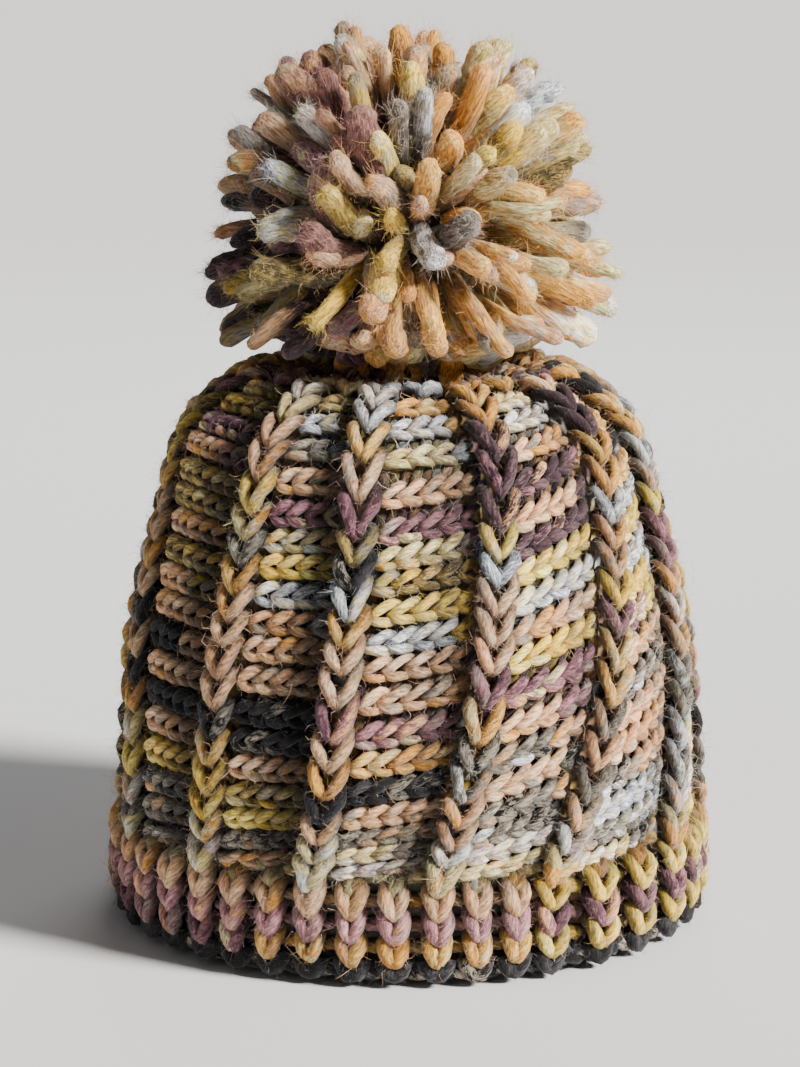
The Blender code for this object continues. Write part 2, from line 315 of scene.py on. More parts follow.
def fabric_angle(rib, along):
    """Angle in radians of a place that is this many ribs round, at distances along the profile."""
    rib, along = np.broadcast_arrays(np.asarray(rib, float), np.asarray(along, float))
    whole = np.floor(rib).astype(int)
    turns, index = np.divmod(whole, RIBS)
    share = (rib - whole)[..., None]
    angles = RIB_TABLE[index] * (1 - share) + RIB_TABLE[index + 1] * share
    low, middle, high = RIB_HEIGHTS
    t = (np.clip(profile_point(np.minimum(along, BODY_TOP))[..., 1], low, high) - middle) / (high - middle)
    rise = (angles[..., 2] - angles[..., 0]) / 2
    bend = (angles[..., 2] + angles[..., 0]) / 2 - angles[..., 1]
    return np.radians(angles[..., 1] + rise * t + bend * t * t + 360.0 * turns)


def row_along(row, angle):
    """Distance along the profile of a row of stitches, which sags towards the front."""
    front = np.interp(row, np.arange(ROWS + 1), FRONT_ROWS)
    side = np.interp(row, np.arange(ROWS + 1), SIDE_ROWS)
    facing = np.maximum(np.cos(angle), 0.0) ** 2
    return side + (front - side) * facing


# Meshes


def smooth_path(points, count):
    """(..., K, 3) control points to (..., count, 3) on a smooth curve through them."""
    points = np.asarray(points, float)
    knots = points.shape[-2]
    t = np.linspace(0, knots - 1, count)
    i = np.clip(np.floor(t).astype(int), 0, knots - 2)
    f = (t - i)[:, None]
    before = points[..., np.maximum(i - 1, 0), :]
    start = points[..., i, :]
    end = points[..., i + 1, :]
    after = points[..., np.minimum(i + 2, knots - 1), :]
    return 0.5 * (
        2 * start + (end - before) * f
        + (2 * before - 5 * start + 4 * end - after) * f**2
        + (3 * start - before - 3 * end + after) * f**3
    )


def placed(name, data):
    obj = bpy.data.objects.new(name, data)
    bpy.context.scene.collection.objects.link(obj)
    return obj


def new_mesh(name, points, faces, attributes, material):
    """A mesh object from points in mm and a list of face arrays, with attributes on its points.

    The brim rests on the ground, so nothing goes below it."""
    mesh = bpy.data.meshes.new(name)
    points = np.stack([points[:, 0], points[:, 1], np.maximum(points[:, 2], 0.0)], -1)
    mesh.vertices.add(len(points))
    mesh.vertices.foreach_set("co", (points * MM).astype(np.float32).ravel())
    corners = np.concatenate([f.ravel() for f in faces])
    sizes = np.concatenate([np.full(len(f), f.shape[1]) for f in faces])
    mesh.loops.add(len(corners))
    mesh.loops.foreach_set("vertex_index", corners.astype(np.int32))
    mesh.polygons.add(len(sizes))
    starts = np.concatenate([[0], np.cumsum(sizes)[:-1]])
    mesh.polygons.foreach_set("loop_start", starts.astype(np.int32))
    for label, values in attributes.items():
        colour = label != "fibre"
        attribute = mesh.attributes.new(label, "FLOAT_COLOR" if colour else "FLOAT_VECTOR", "POINT")
        if colour:
            values = np.concatenate([values, np.ones((len(values), 1))], 1)
        attribute.data.foreach_set("color" if colour else "vector", values.astype(np.float32).ravel())
    mesh.update(calc_edges=True)
    mesh.validate()
    mesh.materials.append(material)
    return placed(name, mesh)


class Strands:
    """Tubes of yarn, gathered up and then made into one mesh."""

    def __init__(self, sides=8, plies=2, ply_depth=0.10, twist=0.28):
        self.sides = sides
        self.plies = plies
        self.ply_depth = ply_depth
        self.twist = twist
        self.points, self.normals, self.quads, self.caps = [], [], [], []
        self.attributes = {"yarn": [], "fleck": [], "fibre": []}
        self.count = 0

    def add(self, paths, radii, ups, main, fleck, depth=None):
        """paths (S, M, 3), radii and ups the same shape or broadcastable, colours (S, 3) or (S, M, 3).

        depth is how far each path point lies under the highest yarn near it: light hardly
        reaches the deepest fibres, so their colour is painted darker there, a painted shade."""
        strands, rings = paths.shape[:2]
        sides = self.sides
        radii = np.broadcast_to(radii, (strands, rings))
        along = np.gradient(paths, axis=1)
        along /= np.linalg.norm(along, axis=-1, keepdims=True) + 1e-9
        ups = np.broadcast_to(ups, paths.shape)
        across = np.cross(along, ups)
        across /= np.linalg.norm(across, axis=-1, keepdims=True) + 1e-9
        up = np.cross(across, along)
        steps = np.linalg.norm(np.diff(paths, axis=1), axis=-1)
        length = np.concatenate([np.zeros((strands, 1)), np.cumsum(steps, 1)], 1)[..., None]
        turn = 2 * math.pi * np.arange(sides) / sides
        start = rng.uniform(0, 2 * math.pi, (strands, 1, 1))
        ply = 1.0 + self.ply_depth * np.cos(self.plies * turn + self.twist * self.plies * length + start)
        reach = (radii[..., None] * ply * rng.normal(1.0, 0.045, (strands, rings, sides)))[..., None]
        out = across[:, :, None] * np.cos(turn)[:, None] + up[:, :, None] * np.sin(turn)[:, None]
        points = paths[:, :, None] + out * reach
        spin = turn + self.twist * length + start
        offset = rng.uniform(0, 60, (strands, 1, 1, 3))
        wide = radii[..., None]
        onward = np.broadcast_to(length, spin.shape)
        fibre = np.stack([onward, wide * np.cos(spin), wide * np.sin(spin)], -1) + offset
        index = self.count + np.arange(strands * rings * sides).reshape(strands, rings, sides)
        following = np.roll(index, -1, axis=2)
        quads = np.stack([index[:, :-1], following[:, :-1], following[:, 1:], index[:, 1:]], -1)
        self.quads.append(quads.reshape(-1, 4))
        self.caps.append(index[:, 0, ::-1].reshape(-1, sides))
        self.caps.append(index[:, -1].reshape(-1, sides))
        self.count += strands * rings * sides
        self.points.append(points.reshape(-1, 3))
        self.normals.append(out.reshape(-1, 3))
        self.attributes["fibre"].append(fibre.reshape(-1, 3))
        # Painted shade: the colours are multiplied by DEPTH_SHADE at each point's depth under the highest
        # yarn.
        shade = 1.0
        if depth is not None:
            depth = np.broadcast_to(depth, (strands, rings))
            under = depth[..., None] - radii[..., None] * np.sin(turn)
            shade = np.interp(under, *DEPTH_SHADE)[..., None]
        for label, colour in (("yarn", main), ("fleck", fleck)):
            colour = np.asarray(colour, float)
            if colour.ndim == 2:
                colour = colour[:, None]
            colour = np.broadcast_to(colour[:, :, None], (strands, rings, sides, 3)) * shade
            self.attributes[label].append(colour.reshape(-1, 3).clip(0, 1))

    def gathered(self):
        attributes = {label: np.concatenate(parts) for label, parts in self.attributes.items()}
        return np.concatenate(self.points), attributes, np.concatenate(self.normals)

    def mesh(self, name, material):
        points, attributes, _ = self.gathered()
        faces = [np.concatenate(self.quads), np.concatenate(self.caps)]
        return new_mesh(name, points, faces, attributes, material)


def ribbons(name, ribs, colours):
    """Thin bands from (count, steps, 2, 3) edge points, each band in its own colour."""
    count, steps = ribs.shape[:2]
    step = 2 * np.arange(steps - 1)[:, None]
    quads = 2 * steps * np.arange(count)[:, None, None] + np.array([0, 1, 3, 2]) + step
    colours = np.repeat(colours, 2 * steps, axis=0)
    return new_mesh(name, ribs.reshape(-1, 3), [quads.reshape(-1, 4)], {"yarn": colours}, FUZZ)


def fibre_colours(yarn, pale):
    """Single fibres are paler than the yarn they come from, and are painted lighter for the light they
    catch: they keep only part of its darkness, painted shade included.
    """
    peak = yarn.max(1, keepdims=True).clip(0.02, 1)
    return ((1.0 - pale) * yarn / peak + pale) * (0.08 + 0.78 * np.sqrt(peak))


def rungs(spine, across, thin):
    """The two edge points of each thin ribbon at one place along it."""
    aside = across * thin * FIBRE_WIDTH / 2
    return np.stack([spine - aside, spine + aside], 1)


def fuzz(name, strands, middle, lowest, count, length, pale):
    """Loose fibres on the yarn above lowest, where it faces away from middle: thin curved ribbons."""
    points, attributes, normals = strands.gathered()
    outside = (normals * unit(points - middle)).sum(1) > 0.05
    exposed = np.flatnonzero(outside & (points[:, 2] > lowest))
    chosen = exposed[rng.integers(0, len(exposed), count)]
    root, normal = points[chosen], normals[chosen]
    wander = unit(rng.normal(0, 1, (count, 3)))
    heading = unit(normal * rng.choice((0.1, 0.25, 0.8), (count, 1)) + wander * 0.8)
    reach = (rng.gamma(1.6, 0.62, (count, 1)) * length).clip(0.3, length * 4.0)
    curl = np.cross(heading, rng.normal(0, 1, (count, 3)))
    twirl = np.cross(heading, curl)
    across = unit(np.cross(heading, rng.normal(0, 1, (count, 3))))
    ribs = []
    for share, thin in ((0.0, 1.0), (0.5, 1.0), (1.0, 0.3)):
        bend = curl * 0.42 * share**2 + twirl * 0.22 * math.sin(share * 5.0)
        spine = root + reach * (heading * share * (1 - 0.25 * share) + bend)
        ribs.append(rungs(spine, across, thin))
    colours = fibre_colours(attributes["yarn"][chosen], pale)
    return ribbons(name, np.stack(ribs, 1), colours)


def tip_fuzz(name, tips, per_tip):
    """Brushed-out fibres at the cut ends."""
    place, heading, colour, thick = (np.repeat(values, per_tip, axis=0) for values in tips)
    count = len(place)
    scatter = rng.normal(0, 1, (count, 3))
    scatter = unit(scatter - heading * (scatter * heading).sum(1, keepdims=True))
    spread = np.sqrt(rng.uniform(0, 1, (count, 1)))
    root = place + scatter * spread * thick[:, None] * 0.9 - heading * 2.0
    ahead = heading + scatter * spread * 0.5 + rng.normal(0, 0.2, (count, 3))
    reach = rng.uniform(2.6, 5.0, (count, 1))
    across = unit(np.cross(ahead, rng.normal(0, 1, (count, 3))))
    curl = rng.normal(0, 0.32, (count, 3))
    ribs = []
    for share, thin in ((0.0, 1.0), (0.5, 0.9), (1.0, 0.25)):
        ribs.append(rungs(root + reach * (ahead * share + curl * share**2), across, thin))
    return ribbons(name, np.stack(ribs, 1), fibre_colours(colour, BRUSHED_PALE))


# Materials


def node_material(name):
    material = bpy.data.materials.new(name)
    material.use_nodes = True
    tree = material.node_tree
    shader = tree.nodes["Principled BSDF"]
    return material, tree.nodes, tree.links, shader


def set_inputs(node, **values):
    for label, value in values.items():
        node.inputs[label.replace("_", " ")].default_value = value


def attribute_node(nodes, label):
    node = nodes.new("ShaderNodeAttribute")
    node.attribute_name = label
    return node


def noise_node(nodes, links, place, scale, detail, roughness):
    node = nodes.new("ShaderNodeTexNoise")
    set_inputs(node, Scale=scale, Detail=detail, Roughness=roughness)
    links.new(place.outputs["Vector"], node.inputs["Vector"])
    return node


def range_node(nodes, links, value, **limits):
    node = nodes.new("ShaderNodeMapRange")
    set_inputs(node, **limits)
    links.new(value, node.inputs["Value"])
    return node


def mix_node(nodes, links, kind, first, second):
    node = nodes.new("ShaderNodeMix")
    node.data_type = "RGBA"
    node.blend_type = kind
    node.inputs["Factor"].default_value = 1.0
    links.new(first, node.inputs["A"])
    links.new(second, node.inputs["B"])
    return node


def bump_node(nodes, links, height, shader, strength, distance):
    node = nodes.new("ShaderNodeBump")
    set_inputs(node, Strength=strength, Distance=distance)
    links.new(height, node.inputs["Height"])
    links.new(node.outputs["Normal"], shader.inputs["Normal"])
    return node


def yarn_material(name, bump, streak_scale, streak_length, contrast):
    """Spun wool: two colours of fibre mixed in streaks that run along the twisted strand."""
    material, nodes, links, shader = node_material(name)
    main = attribute_node(nodes, "yarn")
    fleck = attribute_node(nodes, "fleck")
    fibre = attribute_node(nodes, "fibre")
    stretch = nodes.new("ShaderNodeMapping")
    stretch.inputs["Scale"].default_value = (1.0 / streak_length, 1.5 * streak_scale, 1.5 * streak_scale)
    links.new(fibre.outputs["Vector"], stretch.inputs["Vector"])
    streaks = noise_node(nodes, links, stretch, 1.0, 5.0, 0.65)
    clumps = noise_node(nodes, links, fibre, 0.28, 2.0, 0.5)
    fibres = noise_node(nodes, links, stretch, 1.6, 3.0, 0.6)
    both = nodes.new("ShaderNodeMath")
    both.operation = "ADD"
    links.new(fibres.outputs["Fac"], both.inputs[0])
    links.new(clumps.outputs["Fac"], both.inputs[1])
    amount = range_node(nodes, links, both.outputs["Value"], From_Min=0.95, From_Max=1.08)
    blend = mix_node(nodes, links, "MIX", main.outputs["Color"], fleck.outputs["Color"])
    links.new(amount.outputs["Result"], blend.inputs["Factor"])
    light = {"From_Min": 0.36, "From_Max": 0.64, "To_Min": 1.0 - contrast, "To_Max": 1.0 + contrast * 0.75}
    shade = range_node(nodes, links, streaks.outputs["Fac"], **light)
    tone = mix_node(nodes, links, "MULTIPLY", blend.outputs["Result"], shade.outputs["Result"])
    links.new(tone.outputs["Result"], shader.inputs["Base Color"])
    bump_node(nodes, links, streaks.outputs["Fac"], shader, bump, 0.0008)
    set_inputs(shader, Roughness=0.88, Sheen_Weight=0.15, Sheen_Roughness=0.45, Metallic=0.0)
    shader.inputs["Specular IOR Level"].default_value = 0.18
    return material


def fuzz_material():
    material, nodes, links, shader = node_material("loose_fibres")
    links.new(attribute_node(nodes, "yarn").outputs["Color"], shader.inputs["Base Color"])
    set_inputs(shader, Roughness=0.7, Sheen_Weight=0.3, Metallic=0.0)
    shader.inputs["Specular IOR Level"].default_value = 0.2
    return material


def lining_material():
    """The fabric's back: purl bumps in rows, in the yarn's mixed colours, with painted shade in the
    hollows.
    """
    material, nodes, links, shader = node_material("lining")
    place = attribute_node(nodes, "fibre")
    main = attribute_node(nodes, "yarn")
    bumps = nodes.new("ShaderNodeTexVoronoi")
    bumps.feature = "SMOOTH_F1"
    set_inputs(bumps, Scale=1.0, Randomness=0.35, Smoothness=0.3)
    links.new(place.outputs["Vector"], bumps.inputs["Vector"])
    light = {"From_Min": 0.1, "From_Max": 0.7, "To_Min": 1.0, "To_Max": 0.22}
    shade = range_node(nodes, links, bumps.outputs["Distance"], **light)
    tone = mix_node(nodes, links, "MULTIPLY", main.outputs["Color"], shade.outputs["Result"])
    links.new(tone.outputs["Result"], shader.inputs["Base Color"])
    bump_node(nodes, links, bumps.outputs["Distance"], shader, 1.0, 0.0015).invert = True
    set_inputs(shader, Roughness=0.95, Sheen_Weight=0.3, Metallic=0.0)
    return material


YARN = yarn_material("spun_yarn", 0.8, streak_scale=0.9, streak_length=2.4, contrast=0.62)
ROVING = yarn_material("soft_roving", 0.9, streak_scale=1.1, streak_length=3.4, contrast=0.6)
FUZZ = fuzz_material()
LINING = lining_material()


# Stitches

# A stitch is two arms that leave its closed end and open round the next stitch. Points are
# (share of a pitch onwards, place across, height off the base in mm).
RIB_ARM = np.array((
    (-0.12, 0.02, -1.5), (0.06, 0.16, 0.6), (0.42, 0.58, 1.4),
    (0.84, 0.97, 0.9), (1.14, 1.02, -0.8), (1.36, 0.84, -3.0),
))
PANEL_UPPER_ARM = np.array((
    (-0.16, -0.42, -1.6), (0.10, -0.16, 0.5), (0.46, 0.34, 1.6),
    (0.86, 0.90, 1.1), (1.14, 1.04, -0.6), (1.34, 0.80, -2.4),
))
PANEL_LOWER_ARM = np.array((
    (-0.20, -0.25, -1.8), (0.10, -0.52, 0.1), (0.50, -0.88, 1.1),
    (0.92, -0.96, 0.7), (1.20, -0.76, -0.9), (1.40, -0.50, -2.4),
))
ARM_TAPER = np.array((0.62, 0.85, 0.98, 1.0, 1.04, 1.04, 1.02, 0.98, 0.88, 0.62))


def jittered(arm, count, size):
    """Copies of an arm, each a little out of place."""
    copies = np.repeat(arm[None], count, 0)
    return copies + rng.normal(0, 1, copies.shape) * size


def add_rib_stitches(strands, rib, rows, pitch_rows, letters, half_width, base, yarn, sink=0.0):
    """Raised column of stitches. rows are the closed ends; above the brim the column sinks by sink."""
    count = len(letters)
    for side in (-1, 1):
        arm = smooth_path(jittered(RIB_ARM, count, ARM_JITTER), len(ARM_TAPER))
        along = rows[:, None] + arm[..., 0] * pitch_rows[:, None]
        angle = fabric_angle(rib, along)
        radius = np.maximum(profile_point(along)[..., 0], 6.0)
        width = np.minimum(half_width - yarn, radius * 0.12)
        angle += side * arm[..., 1] * width / radius
        depth = base - arm[..., 2] + sink * smooth_step(28.0, 34.5, along)
        main, fleck = yarn_colours(letters)
        radii = yarn * ARM_TAPER * rng.normal(1, 0.06, (count, 1))
        # painted shade: depth under the crest, lighter at the column's middle
        under = depth + RIB_SHADE * (1.0 - arm[..., 1]) ** 2
        strands.add(fabric_point(angle, along, depth), radii, outward(angle, along), main, fleck, under)


def rib_rows(rib):
    """(closed ends, pitches) of a rib's stitches along the profile, bottom first."""
    rows = np.arange(ROWS)
    start = row_along(rows, 0.0)
    for _ in range(3):  # the sag and the angle depend on each other, and settle
        start = row_along(rows, fabric_angle(rib, start))
    following = row_along(rows + 1, fabric_angle(rib, start))
    return start - RIB_APEX_DROP, following - start


def make_ribs(shoulder):
    made = []
    for rib in range(RIBS):
        strands = Strands(sides=9)
        starts, pitches = rib_rows(rib)
        letters = RIB_CHART[rib][::-1]
        for owner, rows in ((strands, slice(0, SHOULDER_ROW)), (shoulder, slice(SHOULDER_ROW, ROWS))):
            add_rib_stitches(
                owner, rib, starts[rows], pitches[rows], letters[rows], RIB_HALF_WIDTH, RIB_DEPTH, RIB_YARN
            )
        add_rib_foot(strands, rib, letters)
        made.append((f"rib_{rib + 1:02d}", strands))
    return made


def add_rib_foot(strands, rib, letters):
    """The fabric in the shadow on both sides of a rib, where it turns back to the panels, its colour
    painted dark for that shadow.
    """
    first, last = FRONT_ROWS[0], 150.0
    along = np.linspace(first, last, 46)
    rows = ((along - first) / (last - first + 0.1) * SHOULDER_ROW).astype(int)
    for side in (-1, 1):
        offset = side * (RIB_HALF_WIDTH - 0.4) / profile_point(along)[..., 0]
        depth = 7.6 + 0.5 * np.sin(along * 1.5)
        angle = (fabric_angle(rib, along) + offset)[None]
        main, fleck = yarn_colours([letters[row] for row in rows])
        paths = fabric_point(angle, along[None], depth)
        # painted shade: the colour is darkened as for 4.6 mm under the highest yarn
        strands.add(paths, 1.7, outward(angle, along[None]), main[None], fleck[None], 4.6)


def panel_place(rib, share, along):
    """Angle of a place a share of the way from one rib's edge to the next rib's."""
    inset = (RIB_HALF_WIDTH - 0.8) / np.maximum(profile_point(along)[..., 0], 6.0)
    first = fabric_angle(rib, along) + inset
    last = fabric_angle(rib + 1, along) - inset
    return first + (last - first) * share


def panel_centre(rib):
    return fabric_angle(rib + 0.5, RIB_HEIGHTS[1])


def panel_width(rib, along):
    edges = panel_place(rib, np.array([0.0, 1.0]), along)
    return float(np.ptp(edges) * profile_point(along)[0])


def panel_depth(share):
    """The panels sink towards the rib on their right."""
    return 5.9 + 2.4 * np.clip(share, 0, 1.1) ** 2.5


def add_panel_row(strands, rib, row, letter, following):
    """One braided row across a panel: closed ends to the left, arms open to the right.

    The yarn changes colour as it goes, so some rows end in the following row's."""
    centre = panel_centre(rib)
    middle = row_along(row, centre)
    count = max(2, round(panel_width(rib, middle) / PANEL_PITCH))
    pitch = float(row_along(row + 0.5, centre) - row_along(row - 0.5, centre))
    half = min(2.6, max(1.5, pitch * 0.32))
    yarn = PANEL_YARN * min(1.0, 0.72 + pitch * 0.04)
    kept = round(count * rng.uniform(0.5, 1.9))
    letters = (letter * kept + following * count)[:count]
    for arm in (PANEL_UPPER_ARM, PANEL_LOWER_ARM):
        copies = smooth_path(jittered(arm, count, ARM_JITTER), len(ARM_TAPER))
        share = (np.arange(count)[:, None] + copies[..., 0]) / count
        angle = panel_place(rib, share, middle)
        along = row_along(row, angle) + PANEL_TILT * (share - 0.5) + copies[..., 1] * half
        angle = panel_place(rib, share, along)
        paths = fabric_point(angle, along, panel_depth(share) - copies[..., 2])
        main, fleck = yarn_colours(letters)
        radii = yarn * ARM_TAPER * rng.normal(1, 0.06, (count, 1))
        # sunk is the arm's depth under its crest, plus painted shade towards the panel's right end
        sunk = 1.2 - copies[..., 2] + PANEL_END_SHADE[rib] * share.clip(0, 1) ** 1.7
        strands.add(paths, radii, outward(angle, along), main, fleck, sunk)


def add_panel_recess(strands, rib, row, letters):
    """The legs of the stitches between two braided rows: short slanted strands, set deeper."""
    middle = row_along(row + 0.5, panel_centre(rib))
    count = max(3, round(panel_width(rib, middle) / (PANEL_PITCH * 0.55)))
    t = np.linspace(0, 1, 6)
    lean = rng.normal(0.55, 0.15, (count, 1))
    share = (np.arange(count)[:, None] + 0.2 + lean * (t - 0.5) * 1.6) / count
    rows = row + 0.12 + 0.76 * t + rng.normal(0, 0.03, (count, 1))
    angle = panel_place(rib, share, middle)
    along = row_along(rows, angle) + PANEL_TILT * (share - 0.5)
    angle = panel_place(rib, share, along)
    sunk = 2.9 - 0.9 * np.sin(math.pi * t) + rng.normal(0, 0.3, (count, 1))
    main, fleck = yarn_colours([letters[i % 2] for i in range(count)])
    paths = fabric_point(angle, along, panel_depth(share) + sunk)
    # painted shade: these strands are darkened by their depth under the braided rows
    strands.add(paths, INNER_YARN, outward(angle, along), main, fleck, sunk + 2.4)


def make_panels(shoulder):
    made = []
    for rib in range(RIBS):
        strands = Strands(sides=9)
        letters = PANEL_CHART[rib][::-1]
        for row in range(ROWS):
            owner = shoulder if row >= SHOULDER_ROW else strands
            add_panel_row(owner, rib, row, letters[row], letters[min(row + 1, ROWS - 1)])
            if row + 1 < ROWS:
                add_panel_recess(owner, rib, row, letters[row] + letters[row + 1])
        made.append((f"panel_{rib + 1:02d}", strands))
    return made


def brim_letters(angle):
    degrees = (math.degrees(angle) + 180.0) % 360.0 - 180.0
    return next(letters for end, letters in BRIM_CHART if degrees < end)


def make_brim():
    """Ribbed band: upright columns of stitches with deep grooves between them."""
    strands = Strands(sides=9)
    starts = BRIM_FIRST - 1.5 + BRIM_PITCH * np.arange(BRIM_ROWS)
    half_step = 0.5 / BRIM_COLUMNS_PER_RIB
    for column in range(RIBS * BRIM_COLUMNS_PER_RIB):
        rib = column / BRIM_COLUMNS_PER_RIB
        letters = brim_letters(float(fabric_angle(rib, BRIM_MIDDLE)))
        edges = fabric_angle(np.array((rib - half_step, rib + half_step)), BRIM_MIDDLE)
        pitches = np.full(BRIM_ROWS, BRIM_PITCH)
        wide = min(RIB_HALF_WIDTH, float(edges[1] - edges[0]) * (BRIM_RADIUS - BRIM_YARN) * 0.4)
        sink = BRIM_SINK if column % BRIM_COLUMNS_PER_RIB else 0.0
        add_rib_stitches(strands, rib, starts, pitches, letters, wide, RIB_DEPTH, BRIM_YARN, sink)
        add_groove(strands, rib + half_step, letters)
    return "ribbed_brim", strands


def add_groove(strands, rib, letters):
    """Purl bumps at the bottom of a groove."""
    t = np.linspace(-1, 1, 5)
    along = BRIM_FIRST + BRIM_PITCH * (np.arange(BRIM_ROWS)[:, None] + 0.4) - 1.2 * t**2
    angle = fabric_angle(rib, along) + t * 3.4 / BRIM_RADIUS
    main, fleck = yarn_colours(letters)
    depth = 7.4 - 0.8 * (1 - t**2)
    paths = fabric_point(angle, along, depth)
    # painted shade: the groove's bumps are darkened by their depth under the columns
    strands.add(paths, GROOVE_YARN, outward(angle, along), main, fleck, depth - RIB_DEPTH)


def make_edge():
    """Cast-on edge: a row of dark loops, one below each column and one below each groove."""
    strands = Strands(sides=8)
    columns = RIBS * BRIM_COLUMNS_PER_RIB
    for half_step in range(2 * columns):
        rib = half_step / (2 * BRIM_COLUMNS_PER_RIB)
        depth, wide, low = EDGE_LOOPS[half_step % 2]
        t = np.linspace(-1, 1, 9)
        along = (low + 5.2 * np.abs(t) ** 1.8)[None]
        angle = fabric_angle(rib, 8.0) + (wide * np.sin(t * 1.4) / BRIM_RADIUS)[None]
        paths = fabric_point(angle, along, depth + 1.6 * np.abs(t)[None] ** 2)
        main, fleck = yarn_colours("K")
        strands.add(paths, EDGE_YARN, outward(angle, along), main, fleck)
    t = np.linspace(0, 2 * math.pi, 241)
    for phase in (0.0, math.pi):
        swing = 39 * t + phase
        along = (3.4 + 1.1 * np.sin(swing))[None]
        paths = fabric_point(t[None], along, (5.4 + 1.1 * np.cos(swing))[None])
        main, fleck = yarn_colours("K")
        strands.add(paths, 1.9, outward(t[None], along), main, fleck)
    return "cast_on_edge", strands


def make_crown():
    """Gathered crown: columns of stitches drawn in from the last row to the hole."""
    strands = Strands(sides=8)
    starts = CROWN_START + CROWN_PITCH * np.arange(len(CROWN_COLOURS))
    pitches = np.full(len(CROWN_COLOURS), CROWN_PITCH)
    for column in range(RIBS * 2):
        letters = [RIB_CHART[column // 2][i] for i in CROWN_COLOURS]
        rib = column / 2 + float(rng.normal(0, 0.06))
        add_rib_stitches(strands, rib, starts, pitches, letters, half_width=5.6, base=3.6, yarn=1.7)
    return "gathered_crown", strands


def make_lining():
    """The back of the fabric, seen from below and behind the stitches."""
    around, up = 182, 64
    along = np.linspace(3.5, LENGTHS[-1] - 1.5, up)
    angle = np.linspace(0, 2 * math.pi, around, endpoint=False)
    grid_angle, grid_along = np.meshgrid(angle, along)
    depth = np.interp(grid_along, *LINING_DEPTHS)
    points = fabric_point(grid_angle, grid_along, depth)
    index = np.arange(around * up).reshape(up, around)
    following = np.roll(index, -1, axis=1)
    quads = np.stack([index[:-1], index[1:], following[1:], following[:-1]], -1).reshape(-1, 4)
    rows = ((grid_along - 30) / LINING_ROW).clip(0, ROWS - 1).astype(int)
    panels = (grid_angle / (2 * math.pi) * RIBS).astype(int) % RIBS
    letters = [PANEL_CHART[p][ROWS - 1 - r] for p, r in zip(panels.ravel(), rows.ravel())]
    # Painted shade: the back of the fabric is darkened to 0.7, and to 0.3 along the brim, where it shows
    # in the grooves.
    painted_shade = np.where(grid_along < 34.0, 0.3, 0.7).reshape(-1, 1)
    colours = np.array([MAIN[letter] for letter in letters]) * painted_shade
    wide, high = PURL_BUMP
    place = np.stack([grid_angle * LINING_RADIUS / wide, grid_along / high, np.zeros_like(grid_along)], -1)
    attributes = {"yarn": colours, "fibre": place.reshape(-1, 3)}
    return new_mesh("lining", points.reshape(-1, 3), [quads], attributes, LINING)


# Pom-pom


def sphere_directions(count):
    """Evenly spread unit vectors."""
    i = np.arange(count) + 0.5
    up = 1 - 2 * i / count
    turn = i * math.pi * (3 - math.sqrt(5))
    ring = np.sqrt(1 - up**2)
    return np.stack([ring * np.sin(turn), -ring * np.cos(turn), up], -1)


def tuft_directions():
    """The twenty tufts of the CAD pom-pom: the corners of a dodecahedron."""
    directions = []
    for polar, turn in ((37.377, 0.0), (79.188, 0.0), (100.812, 36.0), (142.623, 36.0)):
        for i in range(5):
            around, tilt = math.radians(72.0 * i + turn), math.radians(polar)
            level = math.sin(tilt)
            directions.append((level * math.sin(around), -level * math.cos(around), math.cos(tilt)))
    return np.array(directions)


def pompom_letters(directions):
    toward = np.array([0.0, -math.cos(CAMERA_TILT), math.sin(CAMERA_TILT)])
    up = np.array([0.0, math.sin(CAMERA_TILT), math.cos(CAMERA_TILT)])
    places = np.array([patch[:2] for patch in POMPOM_PATCHES])
    letters = []
    for direction in directions:
        spot = np.array([direction[0], direction @ up]) + rng.normal(0, 0.07, 2)
        nearest = int(np.argmin(np.linalg.norm(places - spot, axis=1)))
        letter = POMPOM_PATCHES[nearest][2]
        if direction @ toward < -0.1:
            band = math.atan2(direction[1], direction[0]) * 2.2 + direction[2] * 3.5 + rng.normal(0, 0.5)
            letter = BACK_YARNS[int(band * 2.0) % len(BACK_YARNS)]
        letters.append(letter)
    return letters


def changing_colours(letters, rings):
    """(main, fleck) along strands, some of which change to a partner's colours on the way."""
    main, fleck = yarn_colours(letters)
    other, other_fleck = yarn_colours([some_partner(letter) for letter in letters])
    changes = rng.uniform(0.35, 1.5, (len(letters), 1))
    mix = smooth_step(changes - 0.12, changes + 0.12, np.arange(rings) / (rings - 1))[..., None]
    main = main[:, None] * (1 - mix) + other[:, None] * mix
    fleck = fleck[:, None] * (1 - mix) + other_fleck[:, None] * mix
    return main, fleck


def pompom_ends(count):
    """Where cut ends lie round the pom-pom's middle, evenly but not in rows."""
    ends = sphere_directions(count)
    ends = unit(ends + rng.normal(0, 0.8 / math.sqrt(count), ends.shape))
    return ends[ends[:, 2] > -0.93]


def crown_clearance(radius, thick):
    """Lowest height from the pom-pom's middle that leaves it room to nod."""
    crown = np.interp(radius, CROWN_RADII, CROWN_HEIGHTS)
    return crown + thick + CROWN_GAP + np.interp(radius, *NOD_ROOM) - POMPOM_HEIGHT


